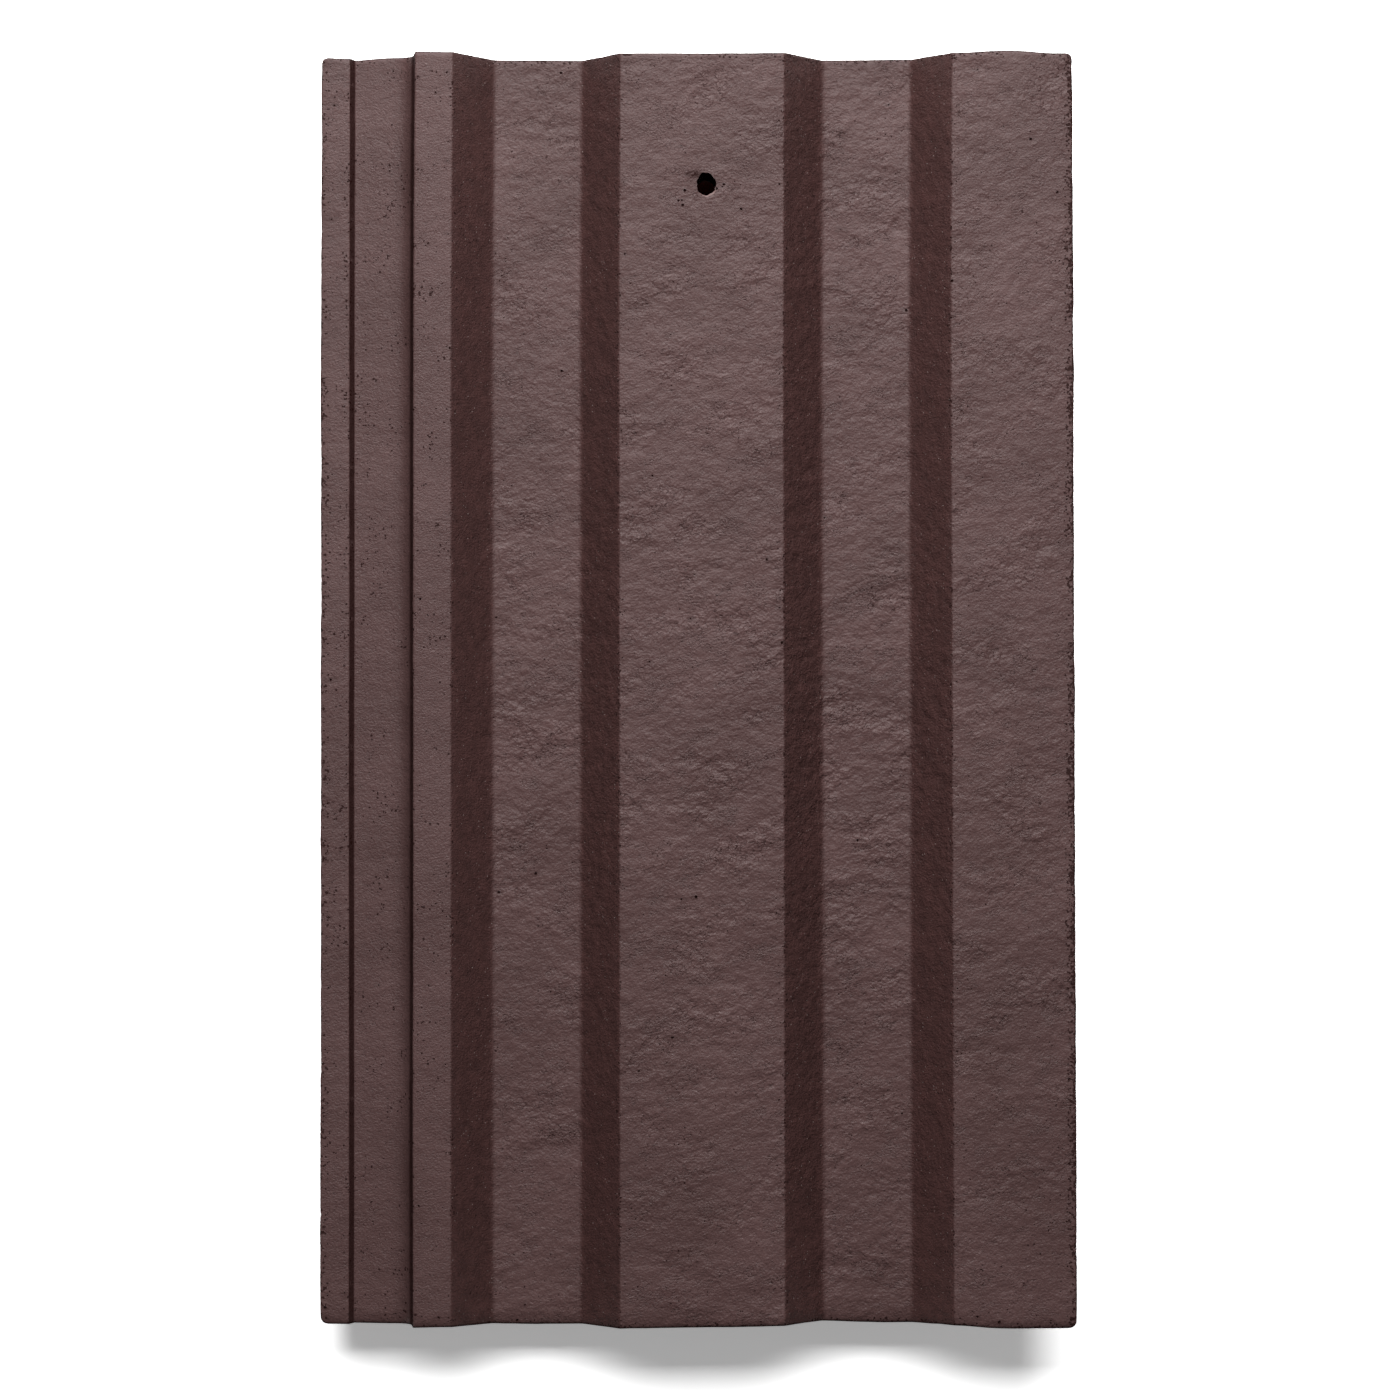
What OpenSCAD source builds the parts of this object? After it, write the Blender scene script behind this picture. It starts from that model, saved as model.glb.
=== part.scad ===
// Interlocking concrete roof tile, cast in one piece.
// The head is at +Y and the weathered face is up. Side laps run along Y: the low
// underlap is at -X, and the overlap that covers the next tile's underlap is at +X.

/* [Tile] */
// Length from the head to the tail
tile_l = 387; // [300:1:450]
// Depth of the concrete, measured straight down through the wave
thick = 16.5; // [14:0.5:20]
// Radius of the four corners, seen from above
corner_r = 2.2; // [0.5:0.1:4]
// Radius that the weathered face rolls over at the tail
tail_roll = 4.8; // [2.4:0.6:6]
// Radius of the weathered face's edge at the head
head_roll = 1.8; // [1.2:0.6:3]

/* [Wave] */
// Depth of the pans below the crowns
pan_depth = 13; // [9:0.5:15]
// Width of the flat floor of each pan
pan_w = 27.2; // [22:0.2:40]
// Width that each sloping flank takes, seen from above
flank_w = 11.8; // [10:0.2:16]
// Width of the flat top of each full crown
crown_w = 50; // [46:0.5:60]
// Width of the part crown beside the overlap's outer edge
edge_crown_w = 37.1; // [34:0.1:40]
// Radius where a crown turns into a flank
crown_r = 1.8; // [0.8:0.1:4]
// Radius where a flank turns into a pan
pan_r = 4; // [2:0.2:6]

/* [Side lap] */
// Width of the rib along the underlap's outer edge
rib_w = 8.6; // [6:0.2:12]
// Drop from the crowns to the top of the rib
rib_drop = 8.6; // [8:0.1:9.6]
// Drop from the crowns to the shelf, beside the rib
shelf_drop = 12; // [11:0.1:13]
// Width of the shelf between the rib and the step
shelf_w = 17.3; // [15:0.1:22]
// Rise of the shelf from the rib towards the step
shelf_rise = 1.6; // [0.4:0.2:2]
// Lean of the rib, step and skirt walls over their height
wall_draft = 1.4; // [0.6:0.1:2]
// Radius of the cove at the foot of the step
cove_r = 5; // [3:0.2:5.6]
// Radius of the small edges of the side lap
lap_r = 1.2; // [0.4:0.1:1.6]
// Sideways clearance between two tiles laid side by side
lap_gap = 1.3; // [0.8:0.1:2]
// Upright clearance between the overlap and the underlap beneath it
seat_gap = 1; // [0.6:0.1:1.6]

/* [Underside] */
// Depth of the hanging nibs below the underside
nib_h = 10.5; // [9:0.5:14]
// Width of each nib at its root
nib_w = 24; // [16:0.5:24]
// Length of each nib at its root, from its batten face towards the head
nib_l = 17; // [12:0.5:24]
// Distance from the head edge to the nibs' batten faces
nib_setback = 28; // [25:1:40]
// Lean of the nibs' sides and head face over their depth
nib_draft = 2.5; // [1:0.1:3]
// Depth of the weather bars below the underside
bar_h = 3.5; // [2:0.5:5]
// Width of each weather bar
bar_w = 7; // [4:0.5:9]
// Spacing of the weather bars
bar_pitch = 15; // [12:0.5:20]
// Distance from the tail edge to the first weather bar
bar_setback = 12; // [8:0.5:30]
// Number of weather bars
bar_count = 3; // [1:1:4]

/* [Nail hole] */
// Diameter of the nail hole
nail_hole_d = 6.3; // [4:0.1:8]
// Distance from the head edge to the nail hole
nail_setback = 39.8; // [30:0.2:60]
// Offset of the nail hole from the middle of the centre crown
nail_shift = 1.2; // [-4:0.1:4]

/* [Hidden] */

// Levels, from the noses of the nibs up. The underlap's flat underside is level with
// the weather bars under the crowns, so both bear on the crowns of the next course.
under_z = nib_h;
pan_z = under_z + thick;
crown_z = pan_z + pan_depth;
crown_under_z = crown_z - thick;
rib_z = crown_z - rib_drop;
shelf_z = crown_z - shelf_drop;
lap_under_z = crown_under_z - bar_h;
lock_roof_z = rib_z + seat_gap;
skirt_z = shelf_z + seat_gap;

// Places across the tile, from the outer face of the rib
rib_foot_x = rib_w + wall_draft;
step_foot_x = rib_foot_x + shelf_w;
step_x = step_foot_x + wall_draft;
first_crown_w = crown_w - lap_gap - edge_crown_w;
pan_a_x = step_x + first_crown_w + flank_w;
crown_x = pan_a_x + pan_w + flank_w;
pan_b_x = crown_x + crown_w + flank_w;
edge_crown_x = pan_b_x + pan_w + flank_w;
tile_w = edge_crown_x + edge_crown_w;
cover_w = tile_w + lap_gap - step_x;
nail_x = crown_x + crown_w / 2 + nail_shift;

// The overlap's outer face leans in below its rounded edge, so the sharp corner that
// the rounding starts from stands a little outside the tile's width
edge_lean = atan(wall_draft / (crown_z - skirt_z - shelf_rise));
edge_corner_x = tile_w + lap_r * (tan(45 + edge_lean / 2) - 1);

// Where the underlap's flat underside runs into the first pan's sloping one
lap_end_x = pan_a_x - flank_w * (lap_under_z - under_z) / pan_depth;

// The ends
tail_y = -tile_l / 2;
head_y = tile_l / 2;
nail_y = head_y - nail_setback;
batten_y = head_y - nib_setback;

// Flats that stand for a quarter turn, the leans of those on the rolled ends and of
// the weather bars' sides, and room for cutters
arc_steps = 5;
roll_leans = [[7, 24], [3, 4], [4, 3], [24, 7]];
bar_lean = [24, 7];
spare = 10;
reach = tile_l + tile_w;

function unit(v) = v / norm(v);

function flat(p) = [p[0], p[1]];

// The arc that rounds the corner b, which lies between a and c
function corner_arc(a, b, c) =
    let (
        to_a = unit(flat(a) - flat(b)),
        to_c = unit(flat(c) - flat(b)),
        half = acos(to_a * to_c) / 2,
        centre = flat(b) + unit(to_a + to_c) * b[2] / sin(half),
        from = flat(b) + to_a * b[2] / tan(half) - centre,
        turn = sign(to_a[1] * to_c[0] - to_a[0] * to_c[1]) * (180 - 2 * half),
        steps = max(2, ceil(arc_steps * abs(turn) / 90))
    )
    [for (i = [0 : steps])
        let (t = turn * i / steps)
        centre + [from[0] * cos(t) - from[1] * sin(t), from[0] * sin(t) + from[1] * cos(t)]];

// A closed outline given as [x, y, radius], with every corner rounded
function rounded(corners) =
    let (n = len(corners))
    [for (i = [0 : n - 1]) each
        corner_arc(corners[(i + n - 1) % n], corners[i], corners[(i + 1) % n])];

// The weathered face across the tile, from the rib to the overlap
function top_corners() = [
    [0, rib_z, lap_r],
    [rib_w, rib_z, lap_r],
    [rib_foot_x, shelf_z, lap_r],
    [step_foot_x, shelf_z + shelf_rise, cove_r],
    [step_x, crown_z, crown_r],
    [pan_a_x - flank_w, crown_z, crown_r],
    [pan_a_x, pan_z, pan_r],
    [pan_a_x + pan_w, pan_z, pan_r],
    [crown_x, crown_z, crown_r],
    [crown_x + crown_w, crown_z, crown_r],
    [pan_b_x, pan_z, pan_r],
    [pan_b_x + pan_w, pan_z, pan_r],
    [edge_crown_x, crown_z, crown_r],
    [edge_corner_x, crown_z, lap_r]
];

// The overlap's skirt and lock groove, from its outer edge inwards
function lock_corners() = [
    [edge_corner_x - wall_draft, skirt_z + shelf_rise, cove_r],
    [cover_w + rib_foot_x + lap_gap, skirt_z, lap_r],
    [cover_w + rib_w + lap_gap, lock_roof_z, lap_r],
    [cover_w - lap_gap, lock_roof_z, lap_r],
    [cover_w - lap_gap, crown_under_z, lap_r]
];

// The waved underside, from the overlap back to the underlap, lowered by drop. It
// copies the weathered face, so that the next course up nests on it.
function under_corners(drop) = [
    [edge_crown_x, crown_under_z - drop, crown_r],
    [pan_b_x + pan_w, under_z - drop, pan_r],
    [pan_b_x, under_z - drop, pan_r],
    [crown_x + crown_w, crown_under_z - drop, crown_r],
    [crown_x, crown_under_z - drop, crown_r],
    [pan_a_x + pan_w, under_z - drop, pan_r],
    [pan_a_x, under_z - drop, pan_r]
];

// The underlap's flat underside, back to the outer face of the rib
function lap_corners() = [
    [lap_end_x, lap_under_z, pan_r],
    [0, lap_under_z, lap_r]
];

function tile_corners() =
    concat(top_corners(), lock_corners(), under_corners(0), lap_corners());

module tile_section() {
    polygon(rounded(tile_corners()));
}

// Turns an outline drawn across the tile into a bar along it, centred on y
module along_tile(length, y = 0) {
    translate([-tile_w / 2, y, 0])
        rotate([90, 0, 0])
            linear_extrude(height = length, center = true)
                children();
}

// Plan outline with its rounded corners, from below the nibs to above the crowns
module plan_block() {
    outline = [
        [-tile_w / 2, tail_y, corner_r],
        [tile_w / 2, tail_y, corner_r],
        [tile_w / 2, head_y, corner_r],
        [-tile_w / 2, head_y, corner_r]
    ];
    translate([0, 0, -spare])
        linear_extrude(height = crown_z + 2 * spare)
            polygon(rounded(outline));
}

// A bar whose upper or lower face is the given profile across the tile, leaning up
// towards the head through y = 0. rise and run are the lean's legs, in a triangle
// whose sides are whole numbers, and far is the level that closes the bar.
module leaning_bar(profile, rise, run, far) {
    slant = norm([rise, run]);
    face = [for (c = profile) [c[0], c[1] * run / slant]];
    first_x = face[0][0] - spare;
    last = face[len(face) - 1];
    last_x = last[0] + spare;
    rotate([atan2(rise, run), 0, 0])
        along_tile(2 * reach)
            polygon(concat(
                [[first_x, far], [first_x, face[0][1]]],
                face,
                [[last_x, last[1]], [last_x, far]]
            ));
}

// Everything under the flats of a roll that takes the weathered face down at the tail
module under_roll(radius) {
    intersection_for(lean = roll_leans) {
        slant = norm(lean);
        translate([0, tail_y, -radius * (lean[1] + lean[0] - slant) / lean[1]])
            leaning_bar(top_corners(), lean[0], lean[1], -reach);
    }
}

// Rolls the weathered face's edge over at both ends, along the whole wave
module rolled_ends() {
    intersection() {
        children();
        under_roll(tail_roll);
        mirror([0, 1, 0])
            under_roll(head_roll);
    }
}

// One hanging nib, carried up into the tile: upright at its batten face, drafted on
// the other three sides
module nib(x) {
    top_z = under_z + thick / 2;
    flare = nib_draft / nib_h * (top_z - under_z);
    translate([x, batten_y, 0])
        intersection() {
            rotate([90, 0, 90])
                linear_extrude(height = 2 * nib_w, center = true)
                    polygon([
                        [0, 0],
                        [nib_l - nib_draft, 0],
                        [nib_l + flare, top_z],
                        [0, top_z]
                    ]);
            rotate([90, 0, 0])
                linear_extrude(height = 4 * nib_l, center = true)
                    polygon([
                        [-nib_w / 2 + nib_draft, 0],
                        [nib_w / 2 - nib_draft, 0],
                        [nib_w / 2 + flare, top_z],
                        [-nib_w / 2 - flare, top_z]
                    ]);
        }
}

module nibs() {
    for (x = [pan_a_x, pan_b_x])
        nib(x + pan_w / 2 - tile_w / 2);
}

// What is left of a shape and its mirror image, front to back
module both_ways() {
    intersection() {
        children();
        mirror([0, 1, 0])
            children();
    }
}

// A bar across the underside, with a drafted nose that follows the wave from the
// underlap's flat underside to the face that stands beside the next tile's rib
module weather_bar() {
    nose = under_corners(bar_h);
    root = under_corners(-thick / 2);
    end_x = cover_w - lap_gap;
    start_x = pan_a_x - flank_w * (lap_under_z - under_z + bar_h) / pan_depth;
    band = concat(
        [[end_x, root[0][1], lap_r], [end_x, nose[0][1], lap_r]],
        nose,
        [[start_x, lap_under_z, lap_r], [start_x, lap_under_z + thick / 4, lap_r]],
        [for (i = [len(root) - 1 : -1 : 0]) root[i]]
    );
    profile = concat(
        [[start_x, lap_under_z]],
        [for (i = [len(nose) - 1 : -1 : 0]) flat(nose[i])],
        [[end_x, nose[0][1]]]
    );
    // The sides pass through the bar's full width at the underside
    side_z = bar_h - bar_w / 2 * bar_lean[0] / bar_lean[1];
    intersection() {
        along_tile(2 * bar_w)
            polygon(rounded(band));
        both_ways()
            translate([0, 0, side_z])
                leaning_bar(profile, bar_lean[0], bar_lean[1], reach);
    }
}

module weather_bars() {
    for (i = [0 : bar_count - 1])
        translate([0, tail_y + bar_setback + i * bar_pitch + bar_w / 2, 0])
            weather_bar();
}

module roof_tile() {
    color("#6a4f4c")
        difference() {
            union() {
                rolled_ends()
                    intersection() {
                        along_tile(tile_l)
                            tile_section();
                        plan_block();
                    }
                nibs();
                weather_bars();
            }
            translate([nail_x - tile_w / 2, nail_y, -spare])
                cylinder(h = crown_z + 2 * spare, d = nail_hole_d, $fn = 48);
        }
}

roof_tile();
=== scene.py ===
import math

import bmesh
import bpy
import numpy as np
from mathutils import Matrix, Quaternion, Vector


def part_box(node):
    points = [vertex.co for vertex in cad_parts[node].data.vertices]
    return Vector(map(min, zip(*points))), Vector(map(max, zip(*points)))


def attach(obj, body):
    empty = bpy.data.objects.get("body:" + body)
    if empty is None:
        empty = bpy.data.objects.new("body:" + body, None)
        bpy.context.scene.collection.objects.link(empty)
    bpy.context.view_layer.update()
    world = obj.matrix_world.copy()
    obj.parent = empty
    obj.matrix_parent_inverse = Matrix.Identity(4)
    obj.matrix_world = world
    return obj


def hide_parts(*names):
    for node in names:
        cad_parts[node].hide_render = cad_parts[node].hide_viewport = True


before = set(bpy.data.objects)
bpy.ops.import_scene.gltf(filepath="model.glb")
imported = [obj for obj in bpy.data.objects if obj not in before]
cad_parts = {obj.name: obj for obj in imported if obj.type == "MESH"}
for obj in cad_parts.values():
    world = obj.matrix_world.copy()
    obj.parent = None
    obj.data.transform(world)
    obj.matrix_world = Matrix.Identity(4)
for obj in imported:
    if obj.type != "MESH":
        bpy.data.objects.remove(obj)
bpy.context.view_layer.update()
mm = 0.001


class Signal:
    # a node's output, so that node maths reads as plain arithmetic
    def __init__(self, graph, socket):
        self.graph, self.socket = graph, socket

    def __add__(self, other):
        return self.graph.maths("ADD", self, other)

    def __sub__(self, other):
        return self.graph.maths("SUBTRACT", self, other)

    def __mul__(self, other):
        return self.graph.maths("MULTIPLY", self, other)

    def __rsub__(self, other):
        return self.graph.maths("SUBTRACT", other, self)

    def __rtruediv__(self, other):
        return self.graph.maths("DIVIDE", other, self)

    __radd__, __rmul__ = __add__, __mul__


class Graph:
    # a node tree and the one method that adds a node to it
    def __init__(self, tree):
        self.tree = tree
        tree.nodes.clear()

    def add(self, kind, settings=None, inputs=None, output=0):
        node = self.tree.nodes.new(kind)
        for name, value in (settings or {}).items():
            setattr(node, name, value)
        for name, value in (inputs or {}).items():
            socket = self.pick(node.inputs, name)
            if isinstance(value, Signal):
                self.tree.links.new(value.socket, socket)
            else:
                socket.default_value = value
        return Signal(self, self.pick(node.outputs, output))

    def pick(self, sockets, name):
        if isinstance(name, int):
            return sockets[name]
        return next(s for s in sockets if s.enabled and s.name == name)

    def other(self, signal, name):
        # another output of the same node
        return Signal(self, self.pick(signal.socket.node.outputs, name))

    def maths(self, operation, *values):
        return self.add("ShaderNodeMath", {"operation": operation}, dict(enumerate(values)))

    def clamp(self, value):
        return self.add("ShaderNodeClamp", None, {"Value": value})

    def smooth(self, value, low, high):
        # eased change from 0 at low to 1 at high
        return self.add("ShaderNodeMapRange", {"interpolation_type": "SMOOTHSTEP"}, {
            "Value": value, "From Min": low, "From Max": high, "To Min": 0.0, "To Max": 1.0})

    def mix(self, kind, factor, a, b, blend="MIX"):
        settings = {"data_type": kind}
        if kind == "RGBA":
            settings["blend_type"] = blend
        return self.add("ShaderNodeMix", settings, {"Factor": factor, "A": a, "B": b}, "Result")

    def turned(self, where, angle):
        return self.add("ShaderNodeVectorRotate", {"rotation_type": "Z_AXIS"}, {
            "Vector": where, "Angle": angle})

    def stretched(self, where, scale):
        return self.add("ShaderNodeVectorMath", {"operation": "MULTIPLY"}, {0: where, 1: scale})

    def moved(self, where, offset):
        return self.add("ShaderNodeVectorMath", {"operation": "ADD"}, {0: where, 1: offset})

    def noise(self, where, size, detail, roughness, seed, swirl=0.0):
        # size is one wave, in metres
        spot = self.moved(where, (0.37 * seed, 0.71 * seed, 0.13 * seed))
        return self.add("ShaderNodeTexNoise", {"noise_dimensions": "3D"}, {
            "Vector": spot, "Scale": 1 / size, "Detail": detail, "Roughness": roughness, "Distortion": swirl})


def newMaterial(name):
    material = bpy.data.materials.new(name)
    material.use_nodes = True
    return material, Graph(material.node_tree)


tileShape = {
    "rowStep": 1.2 * mm,         # rows of the weathered face
    "underRowStep": 8 * mm,
    "columnStep": 2.6 * mm,
    "underColumnStep": 7 * mm,
    "tailRoll": 4.8 * mm,        # the weathered face's edges roll over at both ends
    "tailRollRows": 8,
    "tailDrop": 1.0 * mm,
    "headRoll": 1.1 * mm,
    "headRollRows": 5,
    "tailRow": 7 * mm,           # one more row beyond each roll
    "headRow": 4 * mm,
    "cornerRadius": 2.2 * mm,
    "cornerWidth": 7 * mm,
    "panDepth": 13 * mm,
    "flankWidth": 11.8 * mm,
    "thickness": 16.5 * mm,
    "crownMiddle": 1.6 * mm,     # the centre crown's middle from the tile's
    "longSide": 3 * mm,          # shorter sides of the section get no extra columns
    "rollSide": 1.3 * mm,        # the sides of the section's small rolls are shorter
    "leastTurn": 0.02,           # smaller turns of the section don't count as corners
    "undersideTurn": -0.3,       # the underside starts where the outline faces down by this
    "rollLevel": 26 * mm,        # rolls above this are tighter than the solid's
    "arrisLevel": 28 * mm,       # and arrises above this are worn
    "panLevel": 10.6 * mm,       # only the pans' undersides lie below this
    "sameLevel": 0.3 * mm,       # heights this near to each other are one level
    "ribWidth": 5 * mm,          # the rib's top is the highest point this near the side
    "wallWidth": 1.6 * mm,
    "crispWidth": 30 * mm,       # the underlap's rolls are the tightest
    "crispShare": 0.4,
    "waveShare": 0.6,
}
strayShape = {
    "endFade": 25 * mm,          # how far in from the ends the strays die out
    "sideFade": 5 * mm,          # and from the sides
    "tailPull": 0.6 * mm,
    "tailWander": 0.3 * mm,      # how far the tail edge strays from straight
    "tailWave": 23 * mm,
    "tailPhase": 0.6,
    "headBow": 0.8 * mm,
    "bowReach": 95 * mm,
    "sideWander": 0.06 * mm,
    "sideWave": 21 * mm,
    "sideRipple": 7.3 * mm,
    "rippleShare": 0.6,
    "headSkew": 0.5 * mm,        # the waves drift towards +X near the head
    "skewFrom": 100 * mm,
    "skewReach": 90 * mm,
    "skewPower": 1.5,
    "skewMargin": 20 * mm,
    # worn dents along each end: the distance across from the underlap, the reach and the depth
    "tailDents": ((40 * mm, 12 * mm, 0.5 * mm), (145 * mm, 14 * mm, 0.4 * mm), (192 * mm, 9 * mm, 0.9 * mm)),
    "headDents": ((8 * mm, 8 * mm, 0.7 * mm), (193 * mm, 10 * mm, 0.5 * mm), (225 * mm, 9 * mm, 1.0 * mm)),
}
maskShape = {
    "flankFrom": 0.06, "flankOver": 0.45,      # by the steepness across, 0 flat to 1 upright
    "steepFrom": 0.80, "steepOver": 0.10,
    "footColumns": 3,
    "endReach": 0.3 * mm,
    "sideReach": 4 * mm,
    "rowReach": 6 * mm, "rowShare": 0.78,
    "arrisFrom": 0.3 * mm, "arrisOver": 1.2 * mm, "arrisShare": 0.62,
    "brinkFrom": 0.15 * mm, "brinkOver": 0.35 * mm, "brinkTail": 0.6,
    "calmWidth": 46 * mm,                      # the underlap and the first crown are smoother
    "calmBefore": 8 * mm, "calmAfter": 10 * mm,
    "livelyAt": (120 * mm, 150 * mm, 200 * mm),
    "liveliness": (0, 1, 1.05, 1.3, 0.95),
    "lengthShare": 0.88,                       # livelier in the middle, calmer at the tail
    "middleGain": 0.27, "middleAt": -5 * mm, "fadeLength": 80 * mm,
    "tailLoss": 0.15, "tailFrom": 100 * mm,
}
barShape = {
    "count": 3, "setback": 12 * mm, "pitch": 15 * mm, "width": 7 * mm, "depth": 3.5 * mm, "lean": 1.1 * mm,
    "margin": 0.3 * mm,
    "edgeRows": (0, 0.3, 0.6, 0.9, 1.2, 1.5, 1.9, 2.6),  # millimetres in from an edge
    "endColumn": 0.5 * mm, "lapReach": 1.3 * mm, "below": 1 * mm,
}
nibShape = {
    "setback": 28 * mm, "width": 24 * mm, "length": 17 * mm, "draft": 2.5 * mm, "faceLean": 0.5 * mm,
    "margin": 0.25 * mm,
    "edgeSteps": (-0.3, 0.25, 0.7, 1.2, 1.7, 2.2, 2.7, 4),  # millimetres in from an edge
    "faceRows": (-0.3, -0.15, 0, 0.15, 0.3, 0.8, 1.6),
}
nailHole = {
    "diameter": 6.3 * mm, "setback": 40 * mm, "shift": 1.6 * mm, "depth": 24 * mm, "oval": (0.93, 1.08),
    "sides": 48, "seed": 8, "turnBy": 0.35,
    "levels": (-3 * mm, -1.2 * mm, -0.5 * mm, -0.2 * mm, 0.1 * mm, 0.4 * mm, 2 * mm),
    # on the tail side the coat dips towards the hole
    "flares": (0, 0, 0.01, 0.02, 0.05, 0.27, 0.30, 0.32), "coatLevel": 4, "flarePower": 1.3,
    "paleRimFrom": 0.35, "paleRimGain": 3,
    # the wall's unevenness: size, waves round the hole and twist, and a random part
    "waves": ((0.035, 3, 300), (0.03, 7, -400), (0.02, 13, 500)), "ragged": 0.012,
    # small pits beside the hole: across, along and radius
    "pits": [
        (3.1 * mm, -1.5 * mm, 0.45 * mm), (5.4 * mm, -0.2 * mm, 0.40 * mm),
        (4.9 * mm, -0.9 * mm, 0.25 * mm), (-8.4 * mm, -5.1 * mm, 0.34 * mm),
        (-7.4 * mm, -5.0 * mm, 0.30 * mm), (-7.1 * mm, -6.5 * mm, 0.42 * mm),
    ],
    "pitDepth": 0.1 * mm, "pitStretch": 1.2,
    "smudge": (-3.6 * mm, 3.0 * mm), "smudgeReach": (3.4 * mm, 1.5 * mm),
}

low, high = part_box("roof_tile")
halfWidth = (high.x - low.x) / 2
midX = (high.x + low.x) / 2
holeX = midX + nailHole["shift"] + tileShape["crownMiddle"]
holeCentre = Vector((holeX, high.y - nailHole["setback"], high.z))


def eased(t):
    # a ramp from 0 to 1, steepest in the middle
    t = np.clip(t, 0, 1)
    return t - 0.85 * np.sin(2 * np.pi * t) / (2 * np.pi)


def sectionOf(node):
    # the closed outline across the tile at mid length, from the rib's outer foot up and over
    cut = bmesh.new()
    cut.from_mesh(node.data)
    bmesh.ops.remove_doubles(cut, verts=cut.verts, dist=1e-6)
    bmesh.ops.bisect_plane(cut, geom=cut.verts[:] + cut.edges[:] + cut.faces[:], dist=1e-7,
                           plane_co=(0, 0, 0), plane_no=(0, 1, 0), clear_inner=True, clear_outer=True)
    first = min(cut.verts, key=lambda v: (round(v.co.x, 5), v.co.z))
    ring, before, here = [], None, first
    while here is not first or before is None:
        ring.append((here.co.x, here.co.z))
        ahead = [e.other_vert(here) for e in here.link_edges if e.other_vert(here) is not before]
        step = max(ahead, key=lambda v: v.co.z) if before is None else ahead[0]
        before, here = here, step
    cut.free()
    ring = np.array(ring)
    corners = []
    for i, point in enumerate(ring):
        a, b = point - ring[i - 1], ring[(i + 1) % len(ring)] - point
        turn = (a[0] * b[1] - a[1] * b[0]) / (np.hypot(*a) * np.hypot(*b))
        if abs(turn) > tileShape["leastTurn"]:
            corners.append(point)
    return np.array(corners)


def smallRolls(ring):
    # each small roll of the section: its points' places in the ring and the corner it rounds off
    short = np.hypot(*(np.roll(ring, -1, axis=0) - ring).T) < tileShape["rollSide"]
    rolls, i = [], 1
    while i < len(ring) - 2:
        if short[i] and not short[i - 1]:
            j = i
            while j < len(ring) - 1 and short[j]:
                j += 1
            a, b = ring[i], ring[(j + 1) % len(ring)]
            along, back = a - ring[i - 1], ring[j] - b
            share = np.linalg.solve(np.stack([along, -back], 1), b - a)
            rolls.append((i, j, a + along * share[0]))
            i = j
        i += 1
    return rolls


def splitRun(points, step, extra=()):
    # a run of points with its long pieces split evenly, and at the given extra places across
    out = [points[0]]
    for a, b in zip(points[:-1], points[1:]):
        pieces = max(1, math.ceil(np.hypot(*(b - a)) / step - 0.2))
        shares = {i / pieces for i in range(1, pieces + 1)}
        if abs(b[0] - a[0]) > tileShape["longSide"]:
            shares |= {s for s in ((x - a[0]) / (b[0] - a[0]) for x in extra) if 0.004 < s < 0.996}
        out += [a + (b - a) * s for s in sorted(shares)]
    return np.array(out)


def rollRows(radius, steps):
    # distances from the end of the rows on a roll
    return radius * (1 - np.sin(np.linspace(0, np.pi / 2, steps + 1)))


def evenFill(stations, step):
    out = [stations[0]]
    for a, b in zip(stations[:-1], stations[1:]):
        pieces = max(1, math.ceil((b - a) / step - 0.05))
        out += [a + (b - a) * i / pieces for i in range(1, pieces + 1)]
    return np.array(out)


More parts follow.
